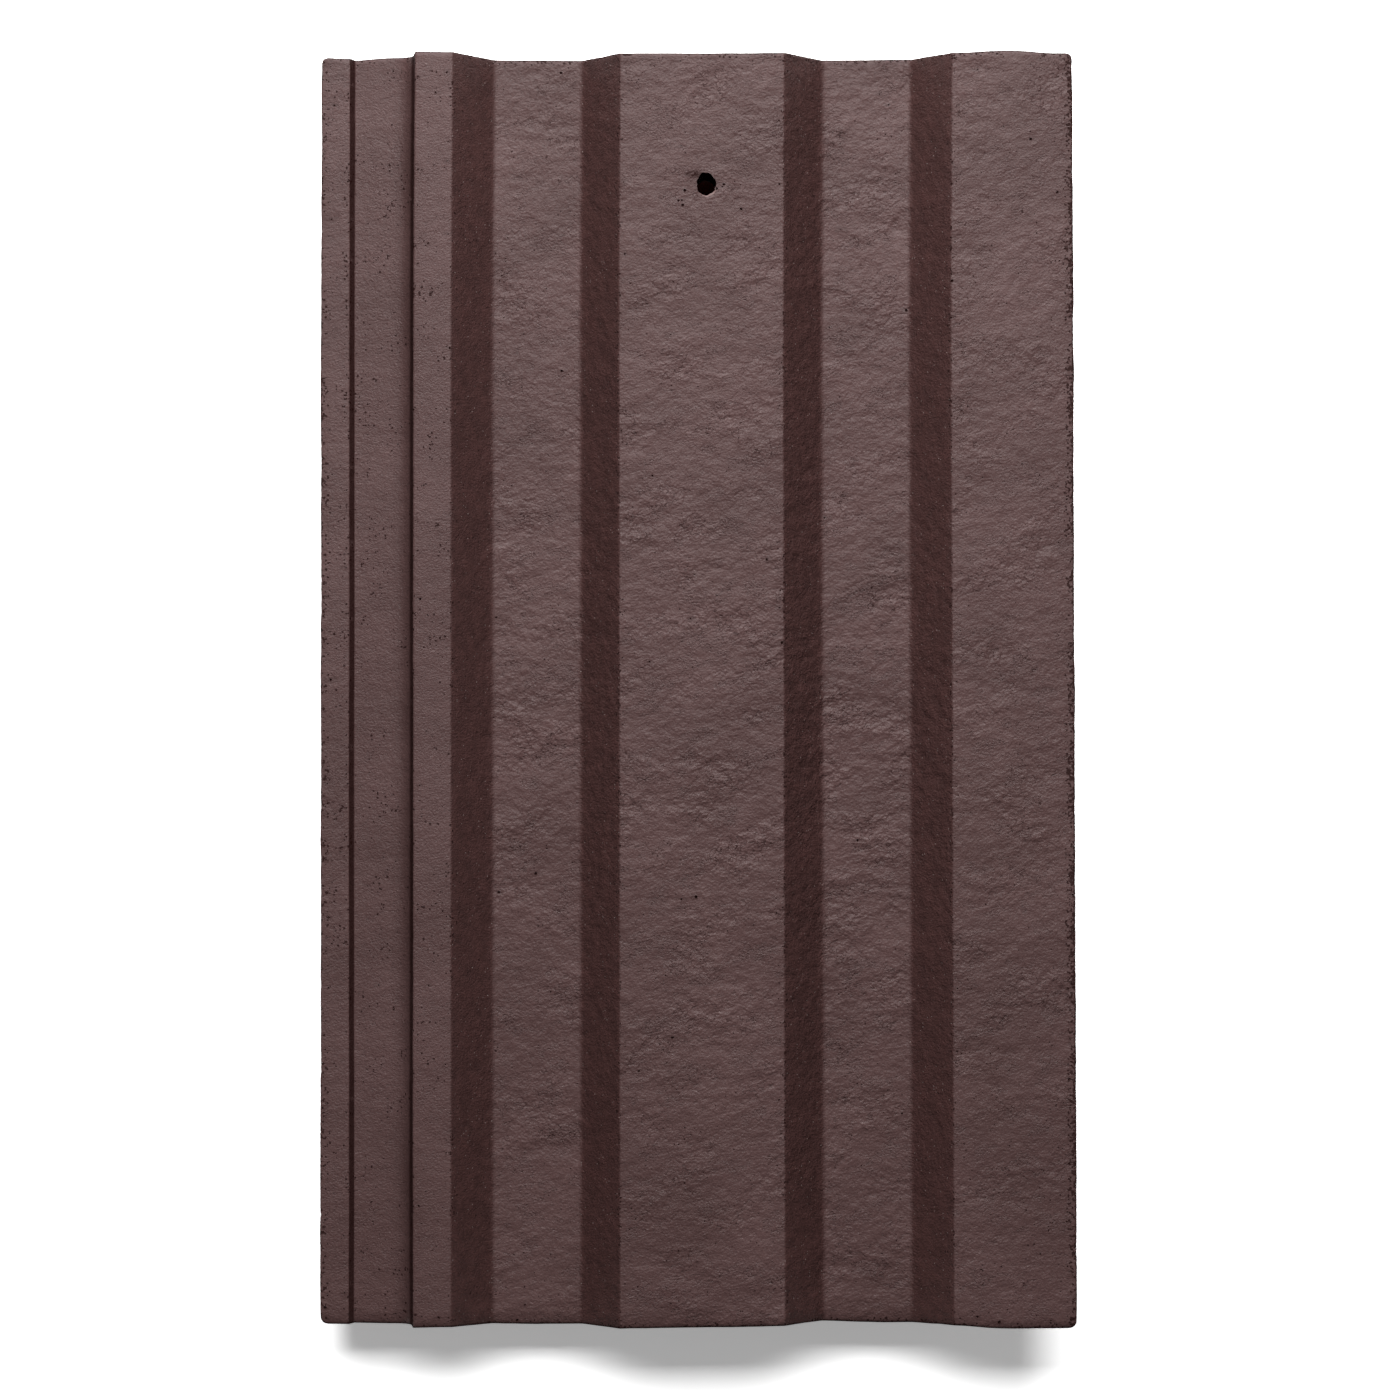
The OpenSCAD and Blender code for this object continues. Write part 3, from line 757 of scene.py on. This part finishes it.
def concreteMaterial():
    material, graph = newMaterial("coatedConcrete")
    look = concreteLook
    where = graph.other(graph.add("ShaderNodeTexCoord"), "Object")
    names = ("flank", "steep", "lively", "brinkShade", "skin", "tone", "crowd", "swarm", "rim")
    mask = {name: graph.add("ShaderNodeAttribute", {"attribute_name": name}, None, "Fac") for name in names}

    # ripples too fine for the mesh, painted shade in their hollows and creases, and small pits
    slanted = graph.turned(where, -look["slant"])
    leaning = graph.turned(where, look["lean"])
    ripples = graph.noise(graph.stretched(slanted, (0.92, 1, 1)), look["rippleSize"], 2.5, 0.62, 2.0)
    weave = graph.noise(graph.stretched(slanted, (0.85, 1, 1)), look["weaveSize"], 2.0, 0.7, 5.0)
    veins = graph.noise(graph.stretched(slanted, (0.7, 1, 1)), look["veinSize"], 2.5, 0.65, 7.0, 0.15)
    smears = graph.noise(graph.stretched(leaning, (0.35, 1, 1)), look["smearSize"], 2.0, 0.6, 9.0)
    crowd = graph.smooth(mask["crowd"], 0.42, 0.66)
    crowd = crowd * (0.25 + 0.75 * mask["lively"]) * (1 - 0.7 * mask["flank"])
    bunch = graph.noise(graph.stretched(slanted, (0.55, 1, 1)), look["bunchSize"], 2.0, 0.6, 13.0)
    bunch = graph.smooth(bunch, 0.50, 0.68)
    bunch = bunch * (0.35 + 0.65 * mask["lively"]) * (1 - 0.6 * mask["flank"])
    # painted shade in the low spots of the fine weave, in bunched patches
    hollowShade = graph.smooth(weave, 0.42, 0.30) * bunch
    lines = graph.smooth(graph.maths("ABSOLUTE", veins - 0.46), 0.016, 0.0)
    # painted shade along thin creases
    creases = lines * graph.smooth(weave, 0.62, 0.42) * (0.3 * bunch + 0.7 * crowd)
    spots = graph.add("ShaderNodeTexVoronoi", {"voronoi_dimensions": "3D"}, {
        "Vector": where, "Scale": 1 / look["spotSize"]}, "Distance")
    lot = graph.add("ShaderNodeSeparateColor", None, {"Color": graph.other(spots, "Color")}, "Red")
    chance = (look["pitPlain"] + look["pitSwarm"] * mask["swarm"]) * (1 - look["pitCalm"] * mask["lively"])
    chance = chance + look["pitRim"] * mask["rim"] * (0.4 + 0.6 * mask["lively"])
    chance = chance - look["pitFlank"] * mask["flank"]
    # small pits, dented by the bump and painted dark as shade
    pits = (lot - look["pitRarity"] + chance) * look["pitSpread"] - spots - (weave - 0.5) * look["pitRag"]
    pits = graph.clamp(pits * look["pitEdge"])
    # pale specks, partly sand grains and partly painted highlights, more of them on the flanks
    glints = graph.smooth(spots, 0.34, 0.14) * graph.smooth(lot, 0.05, 0.03) * (0.4 + 0.6 * mask["flank"])

    # a dark smudge beside the nail hole
    away = graph.add("ShaderNodeVectorMath", {"operation": "SUBTRACT"}, {
        0: where, 1: holeCentre + Vector((*nailHole["smudge"], 0))})
    reach = nailHole["smudgeReach"]
    away = graph.stretched(away, (1 / reach[0], 1 / reach[1], 100))
    away = graph.add("ShaderNodeVectorMath", {"operation": "LENGTH"}, {0: away}, "Value")
    smudge = graph.smooth(away, 1.2, 0.2) * graph.smooth(weave, 0.7, 0.4)

    streaks = (0.55 * (weave - 0.5) + 0.15 * (ripples - 0.5)) * (1 + 0.8 * mask["flank"])
    streaks = streaks + 0.7 * (smears - 0.5) * mask["flank"]
    light = look["light"] + look["toneLight"] * (mask["tone"] - 0.5)
    # the smoother parts, mostly the underlap side, are a little darker
    light = light - look["calmLight"] * (1 - mask["lively"]) - look["bunchLight"] * bunch + streaks
    shade = graph.add("ShaderNodeCombineXYZ", None, {"X": light, "Y": light, "Z": light})
    colour = graph.mix("RGBA", graph.smooth(mask["tone"], 0.3, 0.7), look["coatDeep"], look["coatPale"])
    # painted shade, partly coat: the flanks take the darker flank colour
    colour = graph.mix("RGBA", mask["flank"], colour, look["flankCoatAndShade"])
    colour = graph.mix("RGBA", 1.0, colour, shade, "MULTIPLY")
    colour = graph.mix("RGBA", glints, colour, look["sandAndGlint"])
    # the paler rim: thin coat and painted highlight
    colour = graph.mix("RGBA", graph.clamp(mask["skin"] - 1), colour, look["worn"])
    # painted shade inside the cut pits and the nail hole
    inside = graph.maths("MAXIMUM", 1 - mask["skin"], 0.0)
    by = look["darkBy"]
    # painted shade in pits, creases, hollows, along the edges and inside the cut pits and the nail hole; the
    # smudge is a stain
    dark = pits * by["pits"] + creases * by["creases"] + hollowShade * by["hollowShade"] + smudge * by["smudge"]
    dark = graph.clamp(dark + mask["brinkShade"] * by["brinkShade"] + inside * by["inside"])
    colour = graph.mix("RGBA", dark, colour, look["shadeAndStain"])

    rugged = mask["flank"] * graph.maths("MAXIMUM", mask["lively"] - 0.95, 0.0)
    vigour = (0.8 + 0.6 * crowd) * (0.5 + 0.5 * mask["lively"]) * (0.85 + 0.5 * rugged)
    flankFine = 0.13 + 0.2 * graph.maths("MAXIMUM", mask["lively"] - 1.0, 0.0)
    fine = 0.17 + 0.16 * bunch + 0.05 * (1 - mask["lively"]) + mask["flank"] * flankFine
    height = (ripples - 0.5) * look["rippleBump"] * vigour + (weave - 0.5) * fine
    height = height - creases * look["creaseBump"] - pits * look["pitBump"]
    bump = graph.add("ShaderNodeBump", None, {"Strength": 1.0, "Distance": mm, "Height": height})
    rough = look["roughness"] + look["weaveRough"] * (weave - 0.5)
    rough = rough + look["darkRough"] * dark + look["flankRough"] * mask["flank"]
    surface = graph.add("ShaderNodeBsdfPrincipled", None, {
        "Base Color": colour, "Roughness": rough, "Specular IOR Level": look["specular"], "Normal": bump})
    # painted shade: steep walls and the darkened places turn to a dark matt colour
    paintedShadeMatt = graph.add("ShaderNodeBsdfDiffuse", None, {"Color": look["shadeAndStain"]})
    matt = graph.clamp(dark * 0.6 + mask["steep"] * (0.7 + 0.9 * (weave - 0.5)))
    surface = graph.add("ShaderNodeMixShader", None, {0: matt, 1: surface, 2: paintedShadeMatt})
    out = graph.tree.nodes.new("ShaderNodeOutputMaterial")
    graph.tree.links.new(surface.socket, out.inputs["Surface"])
    return material


stageLook = {
    "size": 6.0,
    "rise": 7 * mm, "noseReach": 15 * mm,  # the floor leans, as the tile lies on its nibs and bars
    "gap": 0.3 * mm,
    "floor": (0.8, 0.8, 0.8, 1),
    "litGain": 2.2, "shadowTone": 0.29,
    "fade": 34 * mm, "underTileShade": (0.02, 0.004, 0.003, 1),  # painted shade: the floor is dark well under the tile
    "farFrom": 0.35, "farTo": 0.9,                          # and white far from it
    "fill": 0.05,
    "white": (1, 1, 1, 1),
}
lampLook = {
    "main": {"at": (-0.02, 0.78, 1.35), "size": (1.7, 0.6), "power": 21.3},
    "low": {"at": (-0.02, 0.95, 0.60), "size": (0.8, 0.2), "power": 10.4},
}
cameraLook = {
    "height": 1.225, "back": 0.033, "aim": (1.1 * mm, -3.3 * mm), "turn": -0.085,
    "lens": 104.1, "sensor": 36.0, "nearest": 0.05, "farthest": 50,
}


def buildFloor():
    look = stageLook
    size = look["size"] / 2
    battenY = high.y - nibShape["setback"]
    barY = low.y + barShape["setback"]
    slope = look["rise"] / (barY - battenY - look["noseReach"])

    def floorZ(y):
        return low.z + (y - battenY - look["noseReach"]) * slope - look["gap"]

    mesh = bpy.data.meshes.new("floor")
    corners = [(-size, -size), (size, -size), (size, size), (-size, size)]
    mesh.from_pydata([(x, y, floorZ(y)) for x, y in corners], [], [(0, 1, 2, 3)])
    floor = bpy.data.objects.new("floor", mesh)
    bpy.context.scene.collection.objects.link(floor)
    material, graph = newMaterial("paleFloor")
    where = graph.add("ShaderNodeTexCoord", None, None, "Object")
    spot = graph.add("ShaderNodeSeparateXYZ", None, {0: where}, "X")
    apart = [graph.maths("ABSOLUTE", graph.other(spot, axis) - middle) - half for axis, middle, half in
             (("X", midX, halfWidth), ("Y", (low.y + high.y) / 2, (high.y - low.y) / 2))]
    apart = graph.maths("MAXIMUM", *apart)  # how far outside the tile's outline
    clear = graph.smooth(apart, -look["fade"], 0.0)
    far = graph.smooth(apart, look["farFrom"], look["farTo"])
    plain = graph.add("ShaderNodeBsdfDiffuse", None, {"Color": look["floor"]})
    lit = (look["litGain"],) * 3 + (1,)
    # painted shade for camera rays: dark well under the tile, lit floor further out
    tint = graph.mix("RGBA", clear, look["underTileShade"], lit)
    tint = graph.add("ShaderNodeBsdfDiffuse", None, {"Color": tint})
    glow = graph.add("ShaderNodeEmission", None, {
        "Color": look["white"], "Strength": clear * look["shadowTone"] + far})
    seen = graph.add("ShaderNodeAddShader", None, {0: tint, 1: glow})
    surface = graph.add("ShaderNodeMixShader", None, {
        0: graph.add("ShaderNodeLightPath", None, None, "Is Camera Ray"), 1: plain, 2: seen})
    out = graph.tree.nodes.new("ShaderNodeOutputMaterial")
    graph.tree.links.new(surface.socket, out.inputs["Surface"])
    mesh.materials.append(material)


def buildLamps():
    for name, lamp in lampLook.items():
        light = bpy.data.lights.new(name, "AREA")
        light.shape, light.size, light.size_y = "RECTANGLE", *lamp["size"]
        light.energy = lamp["power"]
        holder = bpy.data.objects.new(name, light)
        holder.location = lamp["at"]
        facing = Vector((0, 0, high.z)) - Vector(lamp["at"])
        holder.rotation_euler = facing.to_track_quat("-Z", "Y").to_euler()
        bpy.context.scene.collection.objects.link(holder)
    world = bpy.data.worlds.new("room")
    world.use_nodes = True
    graph = Graph(world.node_tree)
    seen = graph.add("ShaderNodeLightPath", None, None, "Is Camera Ray")
    fill = graph.add("ShaderNodeBackground", None, {
        "Color": stageLook["white"], "Strength": stageLook["fill"]})
    white = graph.add("ShaderNodeBackground", None, {"Color": stageLook["white"], "Strength": 1.0})
    both = graph.add("ShaderNodeMixShader", None, {0: seen, 1: fill, 2: white})
    out = graph.tree.nodes.new("ShaderNodeOutputWorld")
    graph.tree.links.new(both.socket, out.inputs["Surface"])
    bpy.context.scene.world = world


def buildCamera():
    look = cameraLook
    camera = bpy.data.cameras.new("camera")
    camera.sensor_width, camera.lens, camera.sensor_fit = look["sensor"], look["lens"], "HORIZONTAL"
    camera.clip_start, camera.clip_end = look["nearest"], look["farthest"]
    holder = bpy.data.objects.new("camera", camera)
    aim = Vector((look["aim"][0], look["aim"][1], high.z))
    holder.location = (aim.x, -look["back"], high.z + look["height"])
    facing = (aim - holder.location).to_track_quat("-Z", "Y")
    holder.rotation_euler = (facing @ Quaternion((0, 0, 1), math.radians(look["turn"]))).to_euler()
    bpy.context.scene.collection.objects.link(holder)
    bpy.context.scene.camera = holder


buildCamera()
concrete = concreteMaterial()
tile = buildBody(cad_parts["roof_tile"])
addRelief(tile, concrete)
print("relief", sum(len(f.vertices) - 2 for f in tile.data.polygons), "triangles")
lumps = pitCutters(tile, concrete)
print("pits", len(lumps.polygons) // lumpShape["faces"])
cutAway(tile, lumps)
cutAway(tile, nailHoleCutter(holeCentre, nailHole["diameter"] / 2, nailHole["depth"]))
print("cut")
mendMesh(tile)
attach(tile, "root")
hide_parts("roof_tile")
buildFloor()
buildLamps()
scene = bpy.context.scene
scene.view_settings.view_transform = "Standard"
